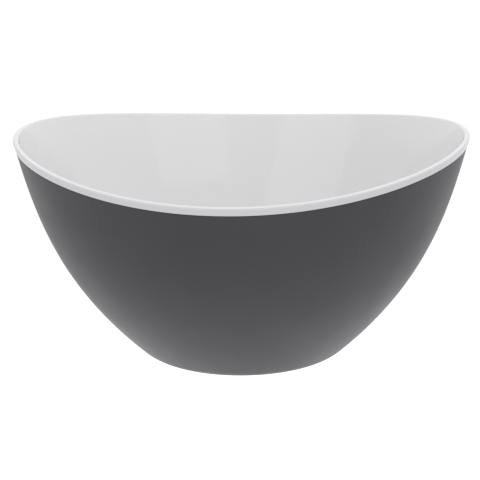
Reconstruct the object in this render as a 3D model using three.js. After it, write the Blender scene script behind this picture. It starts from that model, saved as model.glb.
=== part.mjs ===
// A two-shell serving bowl with a saddle-shaped rim, in millimetres, +Z up.
// The origin is the middle of the base, on the surface that the bowl stands on, and X is its length.
//
// Three separate pieces nest inside each other:
//   outer_shell  the dark moulding: standing ring, wall, and a thin tongue along its top edge
//   inner_bowl   the white moulding that holds the food: its lip covers the shell's top edge
//   rim_bond     the bead of adhesive that joins and seals the two, inside the lip's groove
//
// Every section is drawn with two measures: "along", the distance from the middle of the base
// out and up along the shell's outer face, and "inset", the depth in from that face.

import * as THREE from 'three';
import { ParametricGeometry } from 'three/addons/geometries/ParametricGeometry.js';
import { mergeVertices } from 'three/addons/utils/BufferGeometryUtils.js';

// Driving dimensions of the outer shape.
const HALF_LENGTH = 140; // middle of the bowl to the shell's outer line at a high end of the rim
const END_HEIGHT = 138.8; // top of the rim at its two high ends
const SIDE_HEIGHT = 123.4; // top of the rim halfway along its two low sides
const RIM_ROUNDNESS = 0.943; // width over length at the rim's full height; the base is a true circle
const BASE_RADIUS = 53.2; // the flat underside
const CORNER_RADIUS = 19.2; // the turn from the underside into the wall
const CORNER_ANGLE = THREE.MathUtils.degToRad(42.2); // how far that turn goes
const RIM_ANGLE = THREE.MathUtils.degToRad(75.9); // steepness of the wall where it ends
const LOWER_REACH = 69.4; // Bezier handle out of the corner
const UPPER_REACH = 44.1; // Bezier handle into the rim

// The shell, measured as insets from its own outer face.
const SHELL_WALL = 1.4;
const SHELL_FLOOR = 1.8;
const RECESS_DEPTH = 1.2; // the middle of the underside stands clear of the table
const RECESS_RADIUS = 47;
const LOCATING_RING = { inner: 36, outer: 38.2, height: 1.5 };

// The inner bowl, 0.3 mm clear of the shell wherever they face each other.
const GAP = 0.3;
const BOWL_WALL = 1.4;
const BOWL_FLOOR = 1.8;
const FLARE_START = 54; // the bowl's floor leaves the shell's floor here ...
const FLARE_END = 88; // ... and its wall lies against the shell's wall from here up

// The lip, measured down the wall from its top. A groove in its underside takes the shell's tongue.
const LIP_PROUD = 0.2;
const LIP_HEIGHT = 4.4;
const LIP_EDGE = 1.1; // radius over the lip's top edges
const LIP_HEM = 0.35; // radius under its outer edge
const SKIRT_INNER_FACE = 0.4;
const GROOVE_TOP = 2.6;
const TONGUE_TOP = 3.7;
const TONGUE_OUTER_FACE = SKIRT_INNER_FACE + GAP;
const BOND_HEIGHT = 0.5;

// How finely the surfaces are divided.
const TURNS = 64; // facets round the bowl
const CORNER_STEPS = 4;
const WALL_STEPS = 10;
const EDGE_STEPS = 2;

// The shell's outer face from the middle of the base to a high end of the rim, seen from the side.
function outerLine() {
  const corner = new THREE.Vector2(
    BASE_RADIUS + CORNER_RADIUS * Math.sin(CORNER_ANGLE),
    CORNER_RADIUS * (1 - Math.cos(CORNER_ANGLE)),
  );
  const line = new THREE.Path();
  line.moveTo(0, 0);
  line.lineTo(BASE_RADIUS, 0);
  line.absarc(BASE_RADIUS, CORNER_RADIUS, CORNER_RADIUS, -Math.PI / 2, -Math.PI / 2 + CORNER_ANGLE);
  line.bezierCurveTo(
    corner.x + LOWER_REACH * Math.cos(CORNER_ANGLE),
    corner.y + LOWER_REACH * Math.sin(CORNER_ANGLE),
    HALF_LENGTH - UPPER_REACH * Math.cos(RIM_ANGLE),
    END_HEIGHT - UPPER_REACH * Math.sin(RIM_ANGLE),
    HALF_LENGTH,
    END_HEIGHT,
  );
  return line;
}

const LINE = outerLine();
const TOP = LINE.getLength(); // "along" at the top of a high end
const CORNER_END = BASE_RADIUS + CORNER_RADIUS * CORNER_ANGLE;
const LIP_ZONE = TOP - LIP_HEIGHT - 3; // everything above here keeps its distance from the rim

// Radius and height of a point of the end section.
function sectionPoint(along, inset) {
  const t = THREE.MathUtils.clamp(along / TOP, 0, 1);
  const point = LINE.getPoint(t);
  const tangent = LINE.getTangent(t);
  return new THREE.Vector2(point.x - inset * tangent.y, point.y + inset * tangent.x);
}

// The rim is a saddle: its height rises with the square of the distance from the middle.
function rimHeight(x) {
  return SIDE_HEIGHT + (END_HEIGHT - SIDE_HEIGHT) * (x / HALF_LENGTH) ** 2;
}

// How much shorter the wall is than at the ends, in the direction of an angle round the bowl.
function wallShortening(angle) {
  let low = CORNER_END;
  let high = TOP;
  for (let step = 0; step < 40; step++) {
    const middle = (low + high) / 2;
    const point = LINE.getPoint(middle / TOP);
    if (point.y < rimHeight(point.x * Math.cos(angle))) low = middle;
    else high = middle;
  }
  return TOP - high;
}

const SHORTENING = Array.from({ length: TURNS }, (_, i) => wallShortening((2 * Math.PI * i) / TURNS));

// A point of the bowl. The end section is slid down the wall by the shortening: not at all in the
// base, all the way at the lip, and in proportion between them. The plan turns from a circle at the
// base into the rim's oval as the height grows.
function bowlPoint(turn, along, inset, target) {
  const share = THREE.MathUtils.inverseLerp(CORNER_END, LIP_ZONE, along);
  const slide = SHORTENING[turn % TURNS] * THREE.MathUtils.clamp(share, 0, 1);
  const { x: radius, y: height } = sectionPoint(along - slide, inset);
  const roundness = THREE.MathUtils.lerp(1, RIM_ROUNDNESS, height / END_HEIGHT);
  const angle = (2 * Math.PI * turn) / TURNS;
  target.set(radius * Math.cos(angle), radius * roundness * Math.sin(angle), height);
}

// Carries a section, listed as [along, inset] pairs, round the bowl.
// Its ends lie on the axis, or it closes on itself.
function carriedRound(section) {
  const rows = section.length - 1;
  const surface = (u, v, target) => {
    const [along, inset] = section[Math.round(v * rows)];
    bowlPoint(Math.round(u * TURNS), along, inset, target);
  };
  const geometry = new ParametricGeometry(surface, TURNS, rows);
  geometry.deleteAttribute('uv');
  geometry.deleteAttribute('normal');
  const merged = mergeVertices(geometry);
  merged.computeVertexNormals();
  return merged;
}

// The shared stations up the wall, so that faces that lie against each other have matching facets.
function wallStations() {
  const stations = [];
  for (let i = 0; i <= CORNER_STEPS; i++) {
    stations.push(THREE.MathUtils.lerp(BASE_RADIUS, CORNER_END, i / CORNER_STEPS));
  }
  for (let i = 1; i <= WALL_STEPS; i++) {
    stations.push(THREE.MathUtils.lerp(CORNER_END, LIP_ZONE, i / WALL_STEPS));
  }
  return stations;
}

const UP = wallStations();
const DOWN = [...UP].reverse();

// A rounded edge of the lip, as [along, inset] pairs from one angle to another.
function lipEdge(along, inset, radius, from, to) {
  const arc = new THREE.EllipseCurve(along, inset, radius, radius, from, to, to < from);
  return arc.getPoints(EDGE_STEPS).map((point) => [point.x, point.y]);
}

// The inset of a face of the inner bowl: deep on the floor, shallow on the wall, and a smooth
// flare between, which gives the inside its wide, round bottom.
function flare(along, floorInset, wallInset) {
  return THREE.MathUtils.lerp(floorInset, wallInset, THREE.MathUtils.smoothstep(along, FLARE_START, FLARE_END));
}

function outerShell() {
  const shoulder = TOP - LIP_HEIGHT - GAP;
  const tongueTop = TOP - TONGUE_TOP;
  const floorInset = RECESS_DEPTH + SHELL_FLOOR;
  const ringInset = floorInset + LOCATING_RING.height;
  const innerFace = (along) => {
    const share = THREE.MathUtils.smoothstep(along, BASE_RADIUS, CORNER_END);
    return [along, THREE.MathUtils.lerp(floorInset, SHELL_WALL, share)];
  };
  return carriedRound([
    [0, RECESS_DEPTH],
    [RECESS_RADIUS, RECESS_DEPTH],
    [RECESS_RADIUS + RECESS_DEPTH, 0],
    ...UP.map((along) => [along, 0]),
    [shoulder, 0],
    [shoulder, TONGUE_OUTER_FACE],
    [tongueTop, TONGUE_OUTER_FACE],
    [tongueTop, SHELL_WALL],
    ...DOWN.map(innerFace),
    [LOCATING_RING.outer, floorInset],
    [LOCATING_RING.outer, ringInset],
    [LOCATING_RING.inner, ringInset],
    [LOCATING_RING.inner, floorInset],
    [0, floorInset],
  ]);
}

function innerBowl() {
  const underInset = RECESS_DEPTH + SHELL_FLOOR + LOCATING_RING.height + GAP;
  const floorInset = underInset + BOWL_FLOOR;
  const backInset = SHELL_WALL + GAP;
  const faceInset = backInset + BOWL_WALL;
  const hem = TOP - LIP_HEIGHT;
  const quarter = Math.PI / 2;
  return carriedRound([
    [0, underInset],
    ...UP.map((along) => [along, flare(along, underInset, backInset)]),
    [TOP - GROOVE_TOP, backInset],
    [TOP - GROOVE_TOP, SKIRT_INNER_FACE],
    [hem, SKIRT_INNER_FACE],
    ...lipEdge(hem + LIP_HEM, LIP_HEM - LIP_PROUD, LIP_HEM, 2 * quarter, 3 * quarter),
    ...lipEdge(TOP - LIP_EDGE, LIP_EDGE - LIP_PROUD, LIP_EDGE, -quarter, 0),
    ...lipEdge(TOP - LIP_EDGE, faceInset - LIP_EDGE, LIP_EDGE, 0, quarter),
    ...DOWN.map((along) => [along, flare(along, floorInset, faceInset)]),
    [0, floorInset],
  ]);
}

function rimBond() {
  const bottom = TOP - TONGUE_TOP + GAP;
  const top = bottom + BOND_HEIGHT;
  return carriedRound([
    [bottom, TONGUE_OUTER_FACE],
    [top, TONGUE_OUTER_FACE],
    [top, SHELL_WALL],
    [bottom, SHELL_WALL],
    [bottom, TONGUE_OUTER_FACE],
  ]);
}

const whiteGloss = new THREE.MeshStandardMaterial({ color: 0xf1f0ee, roughness: 0.18, metalness: 0 });
const greySatin = new THREE.MeshStandardMaterial({ color: 0x4a4a4c, roughness: 0.45, metalness: 0 });
const clearAdhesive = new THREE.MeshStandardMaterial({ color: 0xd8d4c4, roughness: 0.5, metalness: 0 });

function piece(name, geometry, material) {
  const mesh = new THREE.Mesh(geometry, material);
  mesh.name = name;
  return mesh;
}

const bowl = new THREE.Group();
bowl.add(
  piece('outer_shell', outerShell(), greySatin),
  piece('inner_bowl', innerBowl(), whiteGloss),
  piece('rim_bond', rimBond(), clearAdhesive),
);

export default bowl;
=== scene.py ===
# %% [markdown]
# # A two-shell serving bowl
#
# The bowl is two plastic mouldings, one nested in the other. The white inner bowl holds the food, and
# its rounded lip stands over the top edge of the dark outer shell. A bead of adhesive in the lip's
# groove joins them. The rim is a saddle: high at the two ends, low along the two sides.
#
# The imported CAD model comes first. It is a fixed frame that says where everything is, and how big.
# The fine surfaces made below stand in for its faceted ones, and keep its sizes.

# %% The frame
import math

import bpy
import numpy as np
from mathutils import Matrix, Vector


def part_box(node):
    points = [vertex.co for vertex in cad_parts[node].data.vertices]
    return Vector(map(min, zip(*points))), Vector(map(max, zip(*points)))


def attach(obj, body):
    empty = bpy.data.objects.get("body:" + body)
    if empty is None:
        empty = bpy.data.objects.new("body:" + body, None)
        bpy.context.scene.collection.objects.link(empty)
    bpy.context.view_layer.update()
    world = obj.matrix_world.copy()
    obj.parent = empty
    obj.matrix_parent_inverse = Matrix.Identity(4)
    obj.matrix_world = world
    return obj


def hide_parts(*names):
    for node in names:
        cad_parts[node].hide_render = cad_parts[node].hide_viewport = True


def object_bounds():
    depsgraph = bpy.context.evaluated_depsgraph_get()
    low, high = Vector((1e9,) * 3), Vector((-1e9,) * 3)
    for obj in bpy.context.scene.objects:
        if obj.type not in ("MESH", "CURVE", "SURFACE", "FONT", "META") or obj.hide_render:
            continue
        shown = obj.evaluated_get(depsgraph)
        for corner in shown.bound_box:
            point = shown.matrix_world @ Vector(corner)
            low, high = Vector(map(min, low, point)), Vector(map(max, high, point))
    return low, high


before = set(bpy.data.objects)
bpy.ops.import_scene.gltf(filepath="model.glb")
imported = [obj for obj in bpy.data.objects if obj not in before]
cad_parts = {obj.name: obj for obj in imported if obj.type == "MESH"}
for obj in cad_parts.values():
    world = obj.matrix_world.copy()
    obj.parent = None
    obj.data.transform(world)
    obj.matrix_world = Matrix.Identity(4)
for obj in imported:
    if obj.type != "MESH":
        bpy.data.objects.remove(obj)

MM = 0.001
cad_low, cad_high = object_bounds()
print("CAD box, mm:", [round(size / MM, 1) for size in cad_high - cad_low])

# %% [markdown]
# ## The drawing
#
# A bowl like this could be modelled by hand as a subdivision cage, but its two shells follow one
# another so closely that a formula is safer: one profile line gives the outer face, and every other
# face is a depth in from it. The line runs straight along the base, turns upwards in an arc, and goes
# on as a Bezier curve to the rim. Two measures place a point on a section of the bowl: "along", the
# distance from the middle of the base along the outer face, and "inset", the depth in from that face.
# All sizes here are in millimetres.

# %% Sizes of the profile and the two walls
BASE_RADIUS = 53.2
CORNER_RADIUS = 19.2
CORNER_ANGLE = math.radians(42.2)
RIM_ANGLE = math.radians(75.9)
LOWER_REACH = 69.4
UPPER_REACH = 44.1

GAP = 0.3
SHELL_WALL = 1.4
SHELL_FLOOR = 1.8
RECESS_DEPTH = 1.2
RECESS_RADIUS = 47.0
LOCATING_RING_INNER = 36.0
LOCATING_RING_OUTER = 38.2
LOCATING_RING_HEIGHT = 1.5
BOWL_WALL = 1.4
BOWL_FLOOR = 1.8
FLARE_START = 54.0
FLARE_END = 88.0

LIP_PROUD = 0.2
LIP_HEIGHT = 4.4
LIP_EDGE = 1.1
LIP_HEM = 0.35
SKIRT_INNER_FACE = 0.4
GROOVE_TOP = 2.6
TONGUE_TOP = 3.7
TONGUE_OUTER_FACE = SKIRT_INNER_FACE + GAP
BOND_HEIGHT = 0.5

shell_floor_inset = RECESS_DEPTH + SHELL_FLOOR
bowl_under_inset = shell_floor_inset + LOCATING_RING_HEIGHT + GAP
bowl_floor_inset = bowl_under_inset + BOWL_FLOOR
bowl_back_inset = SHELL_WALL + GAP
bowl_face_inset = bowl_back_inset + BOWL_WALL
print(f"the inside is {bowl_face_inset:.1f} mm in at the wall, {bowl_floor_inset:.1f} mm above the table")

# %% [markdown]
# The four sizes that set the outer shape come from the frame. The inner bowl's box reaches its lip's
# outermost and topmost points, and the profile line lies a known step in from both. The bead of
# adhesive runs at an even depth below the rim, so the height of its box, less the bead's own, is the
# drop from the high ends of the rim to its low sides.

# %% Length, height and drop of the rim, from the frame
_, lip_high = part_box("inner_bowl")
half_length = lip_high.x / MM - LIP_PROUD * math.sin(RIM_ANGLE) + LIP_EDGE * math.cos(RIM_ANGLE)
end_height = lip_high.z / MM - (bowl_face_inset - LIP_EDGE) * math.cos(RIM_ANGLE)
bond_low, bond_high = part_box("rim_bond")
bond_rise = BOND_HEIGHT * math.sin(RIM_ANGLE) + (SHELL_WALL - TONGUE_OUTER_FACE) * math.cos(RIM_ANGLE)
rim_drop = (bond_high.z - bond_low.z) / MM - bond_rise
side_height = end_height - rim_drop
print(f"half length {half_length:.2f}, rim {end_height:.2f} at the ends and {side_height:.2f} at the sides")


# %% [markdown]
# The line could be drawn by hand as a Bezier curve object and sampled with Blender's own tools. Worked
# out here as four arrays, it can be looked up at any distance along it, which every face below does.


# %% The profile line
def outer_line(steps=800):
    """Distance along, radius, height and slope of the shell's outer face, as four arrays.

    The base is straight. On the corner's arc the slope grows evenly from level to CORNER_ANGLE. The
    flare is a cubic Bezier curve: its four points weigh (1-t)^3, 3(1-t)^2 t, 3(1-t) t^2 and t^3, and
    the inner two lie out along the slopes at its ends. The distance is the running sum of the steps.
    """
    slope_1 = np.linspace(0, CORNER_ANGLE, steps)
    radius_1 = BASE_RADIUS + CORNER_RADIUS * np.sin(slope_1)
    height_1 = CORNER_RADIUS * (1 - np.cos(slope_1))
    start = np.array([radius_1[-1], height_1[-1]])
    end = np.array([half_length, end_height])
    lower = start + LOWER_REACH * np.array([math.cos(CORNER_ANGLE), math.sin(CORNER_ANGLE)])
    upper = end - UPPER_REACH * np.array([math.cos(RIM_ANGLE), math.sin(RIM_ANGLE)])
    t = np.linspace(0, 1, steps)[1:, None]
    curve = (1 - t) ** 3 * start + 3 * (1 - t) ** 2 * t * lower + 3 * (1 - t) * t**2 * upper + t**3 * end
    heading = (1 - t) ** 2 * (lower - start) + 2 * (1 - t) * t * (upper - lower) + t**2 * (end - upper)
    radius = np.concatenate([[0.0], radius_1, curve[:, 0]])
    height = np.concatenate([[0.0], height_1, curve[:, 1]])
    slope = np.concatenate([[0.0], slope_1, np.arctan2(heading[:, 1], heading[:, 0])])
    along = np.concatenate([[0.0], np.cumsum(np.hypot(np.diff(radius), np.diff(height)))])
    return along, radius, height, slope


line_along, line_radius, line_height, line_slope = outer_line()
TOP = line_along[-1]
CORNER_END = BASE_RADIUS + CORNER_RADIUS * CORNER_ANGLE
LIP_ZONE = TOP - LIP_HEIGHT - 3
print(f"the outer face measures {TOP:.1f} mm from the middle of the base to a high end of the rim")

# %% [markdown]
# ## The saddle
#
# The rim's height rises with the square of the distance from the middle, so in every other direction
# the wall is a little shorter than at the ends. The section drawn for the ends is slid down the wall
# by that shortening: all the way at the lip, not at all in the base, and in proportion between. Seen
# from above, the bowl turns from a circle at the base into an oval at the rim.


# %% Shortening of the wall
def wall_shortening(angles):
    """For each direction, the length of wall above the point where the line meets the saddle.

    The line is above the saddle at its end and below it at the corner, so the number of samples
    that are still below it, with the last step shared out in proportion, gives the crossing.
    """
    reach = line_radius[None, :] * np.cos(angles)[:, None] / half_length
    above = line_height[None, :] - side_height - rim_drop * reach**2
    last_below = np.clip((above < 0).sum(1) - 1, 0, len(line_along) - 2)
    rows = np.arange(len(angles))
    low, high = above[rows, last_below], above[rows, last_below + 1]
    step = line_along[last_below + 1] - line_along[last_below]
    return TOP - (line_along[last_below] - low / (high - low) * step)


# The lip's outermost point at the sides, against its box, gives how much the rim is drawn in there.
side_wall = TOP - wall_shortening(np.array([math.pi / 2]))[0]
side_reach = np.interp(side_wall - LIP_EDGE, line_along, line_radius)
side_slope = np.interp(side_wall - LIP_EDGE, line_along, line_slope)
side_lip_radius = side_reach + LIP_PROUD * math.sin(side_slope)
side_lip_height = np.interp(side_wall - LIP_EDGE, line_along, line_height)
rim_roundness = 1 + (lip_high.y / MM / side_lip_radius - 1) * end_height / side_lip_height
print(f"the rim is {rim_roundness:.3f} as wide as it is long")

COLUMNS = 320
angles = np.arange(COLUMNS) * 2 * math.pi / COLUMNS
shortening = wall_shortening(angles)


# %% [markdown]
# ## From a section to a surface
#
# Blender's Screw modifier would turn a section into a round bowl, but not into a saddle with an oval
# rim. Here the whole grid of points is worked out at once, row by row and column by column, and goes
# straight into a mesh.


# %% From a section to a surface
def carried_round(section):
    """The grid of points [row, column] that a section makes when it is carried round the bowl.

    A section is an array of [along, inset] rows. Each is slid down by its share of the shortening,
    looked up on the profile line, moved in at right angles to it, and turned to the column's angle.
    The across-bowl distance is then drawn in, in proportion to the height, to make the rim oval.
    """
    along, inset = section[:, :1], section[:, 1:]
    share = np.clip((along - CORNER_END) / (LIP_ZONE - CORNER_END), 0, 1)
    place = along - share * shortening[None, :]
    slope = np.interp(place, line_along, line_slope)
    radius = np.interp(place, line_along, line_radius) - inset * np.sin(slope)
    height = np.interp(place, line_along, line_height) + inset * np.cos(slope)
    roundness = 1 + (rim_roundness - 1) * height / end_height
    return np.stack([radius * np.cos(angles), radius * roundness * np.sin(angles), height], axis=-1)


def mesh_from_grid(name, grid, poles):
    """A closed mesh from a grid whose columns wrap round.

    With poles, the first and last rows lie on the axis, so each becomes one point with a fan of
    triangles. Without, the last row joins the first and the surface is a ring.
    """
    rows, columns = grid.shape[:2]
    if poles:
        body = grid[1:-1].reshape(-1, 3)
        points = np.concatenate([grid[:1, 0], body, grid[-1:, 0]])
        index = 1 + np.arange((rows - 2) * columns).reshape(rows - 2, columns)
        below, above = index[:-1], index[1:]
    else:
        points = grid.reshape(-1, 3)
        index = np.arange(rows * columns).reshape(rows, columns)
        below, above = index, np.roll(index, -1, axis=0)
    quads = np.stack([below, np.roll(below, -1, 1), np.roll(above, -1, 1), above], -1).reshape(-1, 4)
    faces = quads.tolist()
    if poles:
        first, last = index[0], index[-1]
        zero, end = np.zeros_like(first), np.full_like(last, len(points) - 1)
        faces += np.stack([zero, np.roll(first, -1), first], -1).tolist()
        faces += np.stack([end, last, np.roll(last, -1)], -1).tolist()
    mesh = bpy.data.meshes.new(name)
    mesh.from_pydata((points * MM).tolist(), [], faces)
    mesh.shade_smooth()
    made = bpy.data.objects.new(name, mesh)
    bpy.context.collection.objects.link(made)
    print(f"{name}: {len(mesh.vertices)} points, {len(mesh.polygons)} faces")
    return made


print(f"every section is carried round in {COLUMNS} columns")

# %% [markdown]
# ## Sections from straight runs and small arcs
#
# A moulded edge is never knife sharp, so each corner of a section is a small arc. Rows are close where
# the surface turns and further apart on the long, even walls, and faces that nobody sees get fewer.
# A straight run starts and stops a little short of the arcs beside it, so no two rows fall together.


# %% Helpers for drawing a section
EDGE = 0.4
SMALL_EDGE = 0.15
FINE_ROWS = 2.5
COARSE_ROWS = 6


def run(start, end, steps):
    """Evenly spaced rows on the straight run from start to end."""
    return np.linspace(start, end, steps + 1)


def turn(middle, radius, start_degrees, end_degrees, steps=8):
    """Rows on an arc: middle plus radius times the cosine (along) and sine (inset) of the angle."""
    angle = np.radians(np.linspace(start_degrees, end_degrees, steps + 1))
    return np.stack([middle[0] + radius * np.cos(angle), middle[1] + radius * np.sin(angle)], -1)


def smoothstep(value, low, high):
    """0 below low, 1 above high, and 3t^2 - 2t^3 between, which starts and ends level."""
    t = np.clip((value - low) / (high - low), 0, 1)
    return t * t * (3 - 2 * t)


def wall_stations(spacing):
    """Distances along at which the wall has rows: close round the corner, even up to the lip."""
    corner = np.linspace(BASE_RADIUS, CORNER_END, 15)
    wall = np.linspace(CORNER_END, LIP_ZONE, int((LIP_ZONE - CORNER_END) / spacing) + 1)
    return np.concatenate([corner, wall[1:]])


for spacing in (FINE_ROWS, COARSE_ROWS):
    print(f"a wall with rows every {spacing} mm has {len(wall_stations(spacing))} rows")

# %% [markdown]
# ## The outer shell
#
# From below, the shell has a flat ring that it stands on, and a recess inside the ring, so that a
# slightly domed table top doesn't make it rock. In the middle is the gate mark: the shallow dish and
# the small clipped stub where the plastic flowed into the mould. A Solidify modifier could give the
# shell its thickness, but not the ring, the recess or the thin tongue on top, so all of it is drawn.

# %% Outer shell
GATE_DISH_RADIUS = 4.5
GATE_DISH_DEPTH = 0.5
GATE_STUB_RADIUS = 1.1
GATE_STUB_HEIGHT = 0.35


def gate_mark(radius):
    """Extra depth of the underside: a dish that fades out by a smooth step, less a stub."""
    dish = GATE_DISH_DEPTH * (1 - smoothstep(radius, GATE_DISH_RADIUS - 1.2, GATE_DISH_RADIUS))
    stub = GATE_STUB_HEIGHT * (1 - smoothstep(radius, GATE_STUB_RADIUS - 0.4, GATE_STUB_RADIUS))
    return dish - stub


def underside():
    """Rows from the middle of the underside out to the edge of the standing ring."""
    middle = np.linspace(0, GATE_DISH_RADIUS + 0.5, 26)
    recess = np.linspace(GATE_DISH_RADIUS + 1, RECESS_RADIUS - EDGE, 18)
    radius = np.concatenate([middle, recess])
    floor = np.stack([radius, RECESS_DEPTH + gate_mark(radius)], -1)
    step_in = turn((RECESS_RADIUS - EDGE, RECESS_DEPTH - EDGE), EDGE, 90, 45, 4)[1:]
    step_out = turn((RECESS_RADIUS + RECESS_DEPTH, EDGE), EDGE, 225, 270, 4)
    ring = run((RECESS_RADIUS + RECESS_DEPTH + 0.6, 0), (BASE_RADIUS - 0.6, 0), 4)
    return np.concatenate([floor, step_in, step_out, ring])


def outer_shell_section():
    """The shell from the middle of its underside, up its outer face, over its tongue and back down."""
    shoulder = TOP - LIP_HEIGHT - GAP
    tongue_top = TOP - TONGUE_TOP
    floor = shell_floor_inset
    ring_top = floor + LOCATING_RING_HEIGHT
    ring_inner, ring_outer = LOCATING_RING_INNER, LOCATING_RING_OUTER
    small = SMALL_EDGE
    up = wall_stations(FINE_ROWS)
    down = wall_stations(COARSE_ROWS)[::-1]
    thinning = floor + (SHELL_WALL - floor) * smoothstep(down, BASE_RADIUS, CORNER_END)
    return np.concatenate([
        underside(),
        np.stack([up, np.zeros_like(up)], -1),
        run((LIP_ZONE + 1, 0), (shoulder - EDGE, 0), 2),
        turn((shoulder - EDGE, EDGE), EDGE, -90, 0, 5)[1:],
        turn((shoulder + small, TONGUE_OUTER_FACE - small), small, 180, 90, 3),
        turn((tongue_top - small, TONGUE_OUTER_FACE + small), small, -90, 0, 3),
        turn((tongue_top - small, SHELL_WALL - small), small, 0, 90, 3),
        np.stack([down, thinning], -1),
        run((ring_outer + small, floor), (ring_outer, floor + small), 1),
        run((ring_outer, ring_top - small), (ring_outer - small, ring_top), 1),
        run((ring_inner + small, ring_top), (ring_inner, ring_top - small), 1),
        run((ring_inner, floor + small), (ring_inner - small, floor), 1),
        run((ring_inner - 2, floor), (0, floor), 6),
    ])


outer_shell = mesh_from_grid("outer_shell_moulding", carried_round(outer_shell_section()), poles=True)

# %% [markdown]
# ## The inner bowl
#
# The inner bowl leans on the shell's wall, and its floor rests on the shell's locating ring. Its lip
# is the piece that the eye goes to: two round top edges with a narrow flat between them, an outer
# face a hair proud of the shell, and a small round hem where that face stops short of the shell. The
# lip could be bevelled on with a modifier, but as arcs in the section its radii are exact.


# %% Inner bowl
def flared(along, floor_inset, wall_inset):
    """Insets of a face of the inner bowl: deep on the floor, shallow on the wall, smooth between."""
    return floor_inset + (wall_inset - floor_inset) * smoothstep(along, FLARE_START, FLARE_END)


def inner_bowl_section():
    """The inner bowl from the middle of its underside, up its back, round the lip and down inside."""
    back_up = np.concatenate([np.linspace(0, BASE_RADIUS - 4, 8), wall_stations(COARSE_ROWS)])
    face_down = np.concatenate([wall_stations(FINE_ROWS)[::-1], np.linspace(BASE_RADIUS - 2, 0, 20)])
    hem = TOP - LIP_HEIGHT
    groove = TOP - GROOVE_TOP
    small = SMALL_EDGE
    lip_outside = -LIP_PROUD
    return np.concatenate([
        np.stack([back_up, flared(back_up, bowl_under_inset, bowl_back_inset)], -1),
        run((LIP_ZONE + 1, bowl_back_inset), (groove - small, bowl_back_inset), 3),
        turn((groove - small, bowl_back_inset - small), small, 90, 0, 3)[1:],
        turn((groove - small, SKIRT_INNER_FACE + small), small, 0, -90, 3),
        run((hem + 1, SKIRT_INNER_FACE), (hem + 0.05, SKIRT_INNER_FACE), 2),
        turn((hem + LIP_HEM, LIP_HEM + lip_outside), LIP_HEM, 150, 270, 8),
        run((hem + 1, lip_outside), (TOP - LIP_EDGE - 0.3, lip_outside), 4),
        turn((TOP - LIP_EDGE, LIP_EDGE + lip_outside), LIP_EDGE, -90, 0, 12),
        turn((TOP - LIP_EDGE, bowl_face_inset - LIP_EDGE), LIP_EDGE, 0, 90, 12),
        run((TOP - LIP_EDGE - 0.5, bowl_face_inset), (LIP_ZONE + 1, bowl_face_inset), 4),
        np.stack([face_down, flared(face_down, bowl_floor_inset, bowl_face_inset)], -1),
    ])


bowl_section = inner_bowl_section()
inner_bowl = mesh_from_grid("inner_bowl_moulding", carried_round(bowl_section), poles=True)

# %% [markdown]
# The lip's outer face gets a painted shade: a greyer colour that stands in for studio shade. Its points are
# marked with an attribute on the mesh, which the material reads. A second material on those faces would
# do too, but it would end in a hard line, and this face fades into the glossy top of the lip.

# %% The lip's outer face, where its shade is painted
LIP_FACE_DEPTH = 1.4


def painted_lip_shade(section):
    """Mask of the lip's painted shade: 1 on its outer face, falling smoothly to 0 across its top, and 0 on
    the rest.
    """
    above_hem = smoothstep(section[:, 0], TOP - LIP_HEIGHT - 1, TOP - LIP_HEIGHT)
    return above_hem * (1 - smoothstep(section[:, 1], -LIP_PROUD, LIP_FACE_DEPTH))


# The attribute carries the mask of the lip's painted shade.
lip_shade_attribute = inner_bowl.data.attributes.new("painted_lip_shade", "FLOAT", "POINT")
ring_values = np.repeat(painted_lip_shade(bowl_section)[1:-1], COLUMNS)
lip_shade_attribute.data.foreach_set("value", np.concatenate([[0.0], ring_values, [0.0]]))
print("points on the lip's outer face:", int((ring_values > 0.5).sum()))

# %% [markdown]
# ## The bead
#
# The adhesive is laid in the groove as a thin string, and the tongue squeezes it into a flat oval. A
# curve object with a round bevel would follow the rim too, but a section in the same two measures lies
# in the groove without being fitted to it.


# %% Bead of adhesive
BEAD_POINTS = 14
BEAD_FULLNESS = 0.6


def bead_section():
    """A closed oval, fuller than an ellipse: cosine and sine, each raised to the power 0.6."""
    angle = np.arange(BEAD_POINTS) * 2 * math.pi / BEAD_POINTS
    wave = np.stack([np.sin(angle), -np.cos(angle)], -1)
    half_size = np.array([BOND_HEIGHT, SHELL_WALL - TONGUE_OUTER_FACE]) / 2
    middle = np.array([TOP - TONGUE_TOP + GAP, TONGUE_OUTER_FACE]) + half_size
    return middle + half_size * np.sign(wave) * np.abs(wave) ** BEAD_FULLNESS


rim_bond = mesh_from_grid("rim_bond_bead", carried_round(bead_section()), poles=False)

# %% [markdown]
# ## Materials
#
# Each finish starts from the real one. Colours are written as sRGB hex values, as a paint chart gives
# them, and turned into the linear values that the shader works in. Patterns read Object coordinates,
# which are in metres here, so noise at scale 1 / size has blotches of that size.
#
# Some nodes have several sockets with the same name, so those are picked by number. The names below
# are for the ones used here: the colours of a Mix node, and the ranges of a Map Range node.


# %% Colour and node helpers
FACTOR = 0
COLOUR_A = 6
COLOUR_B = 7
MIXED_COLOUR = 2
FROM_LOW = 1
FROM_HIGH = 2
TO_LOW = 3
TO_HIGH = 4


def linear(hex_colour):
    """RGBA for a shader from an sRGB hex colour: each channel goes through the sRGB curve."""
    channels = [int(hex_colour[i:i + 2], 16) / 255 for i in (1, 3, 5)]
    return [c / 12.92 if c <= 0.04045 else ((c + 0.055) / 1.055) ** 2.4 for c in channels] + [1.0]


def fill(node, inputs):
    """Sets a node's sockets, by name or number: to a value, or linked to another node's output."""
    for key, value in inputs.items():
        if isinstance(value, bpy.types.NodeSocket):
            node.id_data.links.new(value, node.inputs[key])
        else:
            node.inputs[key].default_value = value
    return node


def add_node(owner, kind, inputs, **settings):
    """Adds a node to a material or world, with its own properties as settings."""
    node = owner.node_tree.nodes.new(kind)
    for name, value in settings.items():
        setattr(node, name, value)
    return fill(node, inputs)


def new_finish(name):
    """A new material, its Principled shader, and the object's own coordinates."""
    material = bpy.data.materials.new(name)
    material.use_nodes = True
    place = add_node(material, "ShaderNodeTexCoord", {}).outputs["Object"]
    return material, material.node_tree.nodes["Principled BSDF"], place


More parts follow.
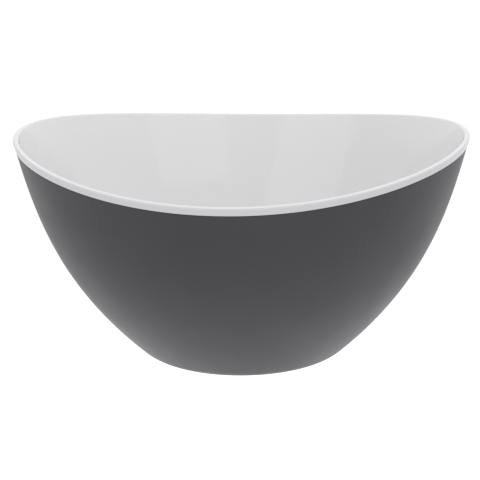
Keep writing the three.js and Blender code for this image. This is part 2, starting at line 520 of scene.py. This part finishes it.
print("the hex grey #808080 is", round(linear("#808080")[0], 3), "in linear light")

# %% [markdown]
# ### Satin dark grey plastic
#
# The shell is taken to be ABS from a mould that was spark eroded, which leaves a fine, even grain
# that turns gloss into satin. The real grain is about 0.1 mm, too fine to show, so it is drawn 0.9 mm
# across and very shallow. Handling polishes it unevenly, and the standing ring is scuffed paler where
# it rubs on the table. The scuffs are noise that is let through only in the lowest millimetre. ABS has
# an IOR of about 1.54. It is 1.46 here, tuned along with the roughness, so the sides don't turn too
# pale.


# %% Satin dark grey plastic
def satin_grey_plastic():
    material, shader, place = new_finish("satin_grey_moulded_plastic")

    # Broad, faint clouds keep the grey from being perfectly even.
    cloud = add_node(material, "ShaderNodeTexNoise", {"Vector": place, "Scale": 1 / (45 * MM)})
    shades = {FACTOR: cloud.outputs["Fac"], COLOUR_A: linear("#2a2a2e"), COLOUR_B: linear("#303035")}
    grey = add_node(material, "ShaderNodeMix", shades, data_type="RGBA")

    # Scuffs are the densest specks of a fine noise, let through only next to the table.
    height = add_node(material, "ShaderNodeSeparateXYZ", {0: place})
    fade = {0: height.outputs["Z"], FROM_LOW: 0.1 * MM, FROM_HIGH: 0.9 * MM, TO_LOW: 1.0, TO_HIGH: 0.0}
    near_table = add_node(material, "ShaderNodeMapRange", fade)
    specks = {"Vector": place, "Scale": 1 / (1.6 * MM), "Detail": 4.0}
    specks = add_node(material, "ShaderNodeTexNoise", specks)
    densest = {0: specks.outputs["Fac"], FROM_LOW: 0.45, FROM_HIGH: 0.6, TO_HIGH: 0.8}
    rubs = add_node(material, "ShaderNodeMapRange", densest)
    both = {0: near_table.outputs[0], 1: rubs.outputs[0]}
    scuffs = add_node(material, "ShaderNodeMath", both, operation="MULTIPLY")
    scuffed = {FACTOR: scuffs.outputs[0], COLOUR_A: grey.outputs[MIXED_COLOUR], COLOUR_B: linear("#6c6c6f")}
    colour = add_node(material, "ShaderNodeMix", scuffed, data_type="RGBA")

    # Handling leaves finger-sized patches a little glossier than the rest.
    hands = {"Vector": place, "Scale": 1 / (28 * MM), "Detail": 3.0}
    hands = add_node(material, "ShaderNodeTexNoise", hands)
    polish = {0: hands.outputs["Fac"], FROM_LOW: 0.3, FROM_HIGH: 0.7, TO_LOW: 0.42, TO_HIGH: 0.48}
    gloss = add_node(material, "ShaderNodeMapRange", polish)

    # The moulded grain, drawn coarser than it is.
    grain = {"Vector": place, "Scale": 1 / (0.9 * MM), "Detail": 1.0}
    grain = add_node(material, "ShaderNodeTexNoise", grain)
    relief = {"Height": grain.outputs["Fac"], "Strength": 1.0, "Distance": 0.006 * MM}
    relief = add_node(material, "ShaderNodeBump", relief)
    fill(shader, {"Base Color": colour.outputs[MIXED_COLOUR], "Roughness": gloss.outputs[0], "IOR": 1.46})
    fill(shader, {"Normal": relief.outputs[0]})
    return material


shell_plastic = satin_grey_plastic()
print(shell_plastic.name, "has", len(shell_plastic.node_tree.nodes), "nodes")

# %% [markdown]
# ### Glossy white plastic
#
# The inner bowl is taken to be melamine from a polished mould. Its surface is glossy, with the faint,
# slow waves that make reflections swim a little, here 14 mm across and 0.01 mm deep. Where cutlery
# scrapes the floor, the gloss is broken by very fine wear, so the roughness rises there in patches.
# The outer face of the lip is drawn satin and clearly greyer than the rest. The real one is most
# likely the same white. The grey stands in for studio shade that this simple room doesn't give, and
# its value was tuned, not measured.


# %% Glossy white plastic
def glossy_white_plastic():
    material, shader, place = new_finish("glossy_white_moulded_plastic")

    # The white varies a very little, and the lip's outer face gets a greyer painted shade.
    cloud = add_node(material, "ShaderNodeTexNoise", {"Vector": place, "Scale": 1 / (60 * MM)})
    shades = {FACTOR: cloud.outputs["Fac"], COLOUR_A: linear("#d8d8d8"), COLOUR_B: linear("#dcdcdc")}
    white = add_node(material, "ShaderNodeMix", shades, data_type="RGBA")
    lip_shade_mask = add_node(material, "ShaderNodeAttribute", {}, attribute_name="painted_lip_shade").outputs["Fac"]
    with_lip_shade = {FACTOR: lip_shade_mask, COLOUR_A: white.outputs[MIXED_COLOUR], COLOUR_B: linear("#bababd")}
    colour = add_node(material, "ShaderNodeMix", with_lip_shade, data_type="RGBA")

    # Wear adds to the roughness of the floor. The lip's outer face is rougher all over.
    height = add_node(material, "ShaderNodeSeparateXYZ", {0: place})
    fade = {0: height.outputs["Z"], FROM_LOW: 8 * MM, FROM_HIGH: 30 * MM, TO_LOW: 1.0, TO_HIGH: 0.0}
    on_floor = add_node(material, "ShaderNodeMapRange", fade)
    scrapes = {"Vector": place, "Scale": 1 / (5 * MM), "Detail": 6.0}
    scrapes = add_node(material, "ShaderNodeTexNoise", scrapes)
    densest = {0: scrapes.outputs["Fac"], FROM_LOW: 0.4, FROM_HIGH: 0.65, TO_HIGH: 0.12}
    worn = add_node(material, "ShaderNodeMapRange", densest)
    lip_gloss = add_node(material, "ShaderNodeMapRange", {0: lip_shade_mask, TO_LOW: 0.07, TO_HIGH: 0.25})
    both = {0: on_floor.outputs[0], 1: worn.outputs[0], 2: lip_gloss.outputs[0]}
    gloss = add_node(material, "ShaderNodeMath", both, operation="MULTIPLY_ADD")

    # The slow waves of a polished moulding.
    swell = {"Vector": place, "Scale": 1 / (14 * MM), "Detail": 0.0}
    swell = add_node(material, "ShaderNodeTexNoise", swell)
    waves = {"Height": swell.outputs["Fac"], "Strength": 1.0, "Distance": 0.01 * MM}
    waves = add_node(material, "ShaderNodeBump", waves)
    fill(shader, {"Base Color": colour.outputs[MIXED_COLOUR], "Roughness": gloss.outputs[0], "IOR": 1.5})
    fill(shader, {"Normal": waves.outputs[0]})
    return material


bowl_plastic = glossy_white_plastic()
print(bowl_plastic.name, "has", len(bowl_plastic.node_tree.nodes), "nodes")

# %% [markdown]
# ### Cured adhesive
#
# The bead is a milky, slightly translucent polymer with small trapped bubbles. It is sealed in the
# groove, and only shows if the bowl is broken open, so plain noise is enough for it.


# %% Cured adhesive
def cured_adhesive():
    material, shader, place = new_finish("milky_cured_adhesive")
    cloud = {"Vector": place, "Scale": 1 / (4 * MM), "Detail": 3.0}
    cloud = add_node(material, "ShaderNodeTexNoise", cloud)
    shades = {FACTOR: cloud.outputs["Fac"], COLOUR_A: linear("#d3cebd"), COLOUR_B: linear("#eae8df")}
    milky = add_node(material, "ShaderNodeMix", shades, data_type="RGBA")
    froth = add_node(material, "ShaderNodeTexNoise", {"Vector": place, "Scale": 1 / (0.3 * MM)})
    bubbles = {"Height": froth.outputs["Fac"], "Strength": 1.0, "Distance": 0.03 * MM}
    bubbles = add_node(material, "ShaderNodeBump", bubbles)
    fill(shader, {"Base Color": milky.outputs[MIXED_COLOUR], "Roughness": 0.45, "IOR": 1.46})
    fill(shader, {"Subsurface Weight": 0.3, "Subsurface Radius": (0.6 * MM, 0.5 * MM, 0.4 * MM)})
    fill(shader, {"Normal": bubbles.outputs[0]})
    return material


bead_adhesive = cured_adhesive()
print(bead_adhesive.name, "has", len(bead_adhesive.node_tree.nodes), "nodes")

# %% [markdown]
# ## Putting the pieces on the frame
#
# All three pieces are joined for good, so they ride on the one body of the part. Each stands for the
# CAD node of its own name, which is hidden, and takes its finish.

# %% Each piece gets its finish, its body and its CAD node
for piece, node, slot, finish in (
    (outer_shell, "outer_shell", "shell_grey", shell_plastic),
    (inner_bowl, "inner_bowl", "bowl_white", bowl_plastic),
    (rim_bond, "rim_bond", "bond_clear", bead_adhesive),
):
    piece.data.materials.append(finish)
    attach(piece, "root")
    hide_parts(node)
    print(piece.name, "stands for", node, "in", finish.name)

# %% [markdown]
# ## The studio
#
# The bowl stands on a sheet of white acrylic that glows as if lit from below, so the ground is white and
# nearly free of shadow, and the dark shell, which leans out over it, mirrors it more and more towards the
# base. The glow is painted light, and it is painted brightest in a pool right under the bowl. The sheet's
# far edges are turned up, which hides the horizon in a low view. The table could be lit by real area
# lights, but a glowing material is simpler and shows no lamp.

# %% Floor
FLOOR_HALF_SIZE = 6.0
EDGE_HEIGHT = 0.9
# The glow is painted light, stronger in a painted pool right under the bowl.
GLOW_POOL_INNER_RADIUS = 0.06
GLOW_POOL_OUTER_RADIUS = 0.22
GLOW_IN_POOL = 1.3
GLOW_ELSEWHERE = 0.94


def glowing_white_acrylic():
    """White acrylic with a painted glow, brightest in a painted pool under the bowl that falls off smoothly
    between its two radii.
    """
    material, shader, place = new_finish("glowing_white_acrylic")
    distance = add_node(material, "ShaderNodeVectorMath", {0: place}, operation="LENGTH")
    pool_edge = {0: distance.outputs["Value"], FROM_LOW: GLOW_POOL_INNER_RADIUS, FROM_HIGH: GLOW_POOL_OUTER_RADIUS}
    levels = {TO_LOW: GLOW_IN_POOL, TO_HIGH: GLOW_ELSEWHERE}
    glow = add_node(material, "ShaderNodeMapRange", pool_edge | levels, interpolation_type="SMOOTHSTEP")
    fill(shader, {"Base Color": linear("#4d4d4d"), "Roughness": 0.6, "Specular IOR Level": 0.0})
    fill(shader, {"Emission Color": linear("#ffffff"), "Emission Strength": glow.outputs[0]})
    return material


def white_table():
    """A wide, thin white sheet that glows, with its far edges turned up."""
    mesh = bpy.data.meshes.new("white_table")
    square = np.array([(-1, -1), (1, -1), (1, 1), (-1, 1)]) * FLOOR_HALF_SIZE
    corners = [(x, y, 0) for x, y in square] + [(x, y, EDGE_HEIGHT) for x, y in square]
    turned_up = [(4, 5, 1, 0), (5, 6, 2, 1), (6, 7, 3, 2), (7, 4, 0, 3)]
    mesh.from_pydata(corners, [], [(0, 1, 2, 3)] + turned_up)
    table = bpy.data.objects.new("white_table", mesh)
    bpy.context.collection.objects.link(table)
    mesh.materials.append(glowing_white_acrylic())
    return table


table = white_table()
print("table:", 2 * FLOOR_HALF_SIZE, "m wide, with edges", EDGE_HEIGHT, "m high")

# %% [markdown]
# ### The room
#
# The light comes from all round. The walls are pale, with a broad glow high up on each of the four
# sides, and the ceiling between them is a little darker. Behind the camera hangs a dark cloth, which
# takes light away from the lip's outer face, so that its rounded top stands out against it. An
# environment picture could do the same, but the room is made here from a few directions. Each glow is
# the cosine of the angle to its direction, raised to a power, and a negative one takes light away.


# %% Room light
def direction(azimuth, elevation):
    """Unit vector from the bowl: azimuth 0 is straight in front (-Y), growing towards +X."""
    a, e = math.radians(azimuth), math.radians(elevation)
    return np.array([math.sin(a) * math.cos(e), -math.cos(a) * math.cos(e), math.sin(e)])


WALL_BRIGHTNESS = 0.6
GLOWS = (
    # name, direction, power and strength
    ("ceiling", direction(0, 90), 2, -0.25),
    ("glow high on the left", direction(-90, 36), 3, 0.52),
    ("glow high on the right", direction(90, 36), 3, 0.85),
    ("glow high behind", direction(180, 35), 3, 0.5),
    ("dark cloth behind the camera", direction(0, 0), 1, -0.35),
    ("glow high in front", direction(0, 34), 3, 0.93),
)

scene = bpy.context.scene
scene.view_settings.view_transform = "Standard"
room = bpy.data.worlds.new("white_room")
room.use_nodes = True
scene.world = room

towards = add_node(room, "ShaderNodeTexCoord", {}).outputs["Generated"]
brightness = WALL_BRIGHTNESS
for name, middle_of_glow, power, strength in GLOWS:
    both = {0: towards, 1: middle_of_glow}
    cosine = add_node(room, "ShaderNodeVectorMath", both, operation="DOT_PRODUCT")
    near_side = {0: cosine.outputs["Value"], 1: 0.0}
    near_side = add_node(room, "ShaderNodeMath", near_side, operation="MAXIMUM")
    shape = add_node(room, "ShaderNodeMath", {0: near_side.outputs[0], 1: power}, operation="POWER")
    added = {0: shape.outputs[0], 1: strength, 2: brightness}
    brightness = add_node(room, "ShaderNodeMath", added, operation="MULTIPLY_ADD").outputs[0]
    print(name, "at", np.round(middle_of_glow, 2), "strength", strength)
fill(room.node_tree.nodes["Background"], {"Color": linear("#ffffff"), "Strength": brightness})

# %% [markdown]
# ### Two soft boxes
#
# A soft box each side of the camera shows as a pale, upright panel in the glossy white wall, where it
# adds to the light of the room behind it. A glowing card would do the same, but an area light has its
# power and size as plain settings. The camera doesn't see the boxes themselves.


# %% Soft boxes
def aim(forward, roll=0.0):
    """Euler angles that point an object's -Z along forward, with its X level, then rolled."""
    turn_to = Vector(forward).to_track_quat("-Z", "Y").to_matrix()
    return (turn_to @ Matrix.Rotation(roll, 3, "Z")).to_euler()


def soft_box(name, azimuth, elevation, distance, width, height, radiance):
    """A rectangular light that faces the bowl. Its power is its radiance times pi times its area."""
    light = bpy.data.lights.new(name, "AREA")
    light.shape = "RECTANGLE"
    light.size = width
    light.size_y = height
    light.energy = radiance * math.pi * width * height
    lamp = bpy.data.objects.new(name, light)
    towards_lamp = direction(azimuth, elevation)
    lamp.location = np.array(cad_low + cad_high) / 2 + distance * towards_lamp
    lamp.rotation_euler = aim(-towards_lamp)
    lamp.visible_camera = False
    bpy.context.collection.objects.link(lamp)
    print(f"{name}: {width} by {height} m, {light.energy:.2f} W")
    return lamp


soft_box("soft_box_right", azimuth=34, elevation=14, distance=1.5, width=1.15, height=0.85, radiance=0.65)
soft_box("soft_box_left", azimuth=-40, elevation=22, distance=1.5, width=1.15, height=1.5, radiance=0.6)

# %% [markdown]
# ### The camera
#
# The camera looks down a little at the broad side, so that the saddle of the rim and the inside of
# the far wall both show. From 1.1 m away, the far side of the bowl looks a fifth smaller than the near
# side. The camera could be turned until the bowl is in the middle of the frame, but two small shifts
# of the lens move the picture and leave the view of the bowl as it is.

# %% Camera
CAMERA_DISTANCE = 1.1
CAMERA_AZIMUTH = 4.26
CAMERA_ELEVATION = 15.98
CAMERA_LENS = 131.4
CAMERA_ROLL = math.radians(0.66)
CAMERA_TARGET = np.array([0, 0, 0.0645])
CAMERA_SHIFT = (-0.0047, 0.0163)
SENSOR_WIDTH = 36

camera_data = bpy.data.cameras.new("camera")
camera_data.lens = CAMERA_LENS
camera_data.sensor_width = SENSOR_WIDTH
camera_data.shift_x, camera_data.shift_y = CAMERA_SHIFT
camera = bpy.data.objects.new("camera", camera_data)
bpy.context.collection.objects.link(camera)
back = direction(CAMERA_AZIMUTH, CAMERA_ELEVATION)
camera.location = CAMERA_TARGET + CAMERA_DISTANCE * back
camera.rotation_euler = aim(-back, -CAMERA_ROLL)
scene.camera = camera
print("the camera stands at", np.round(np.array(camera.location), 3))
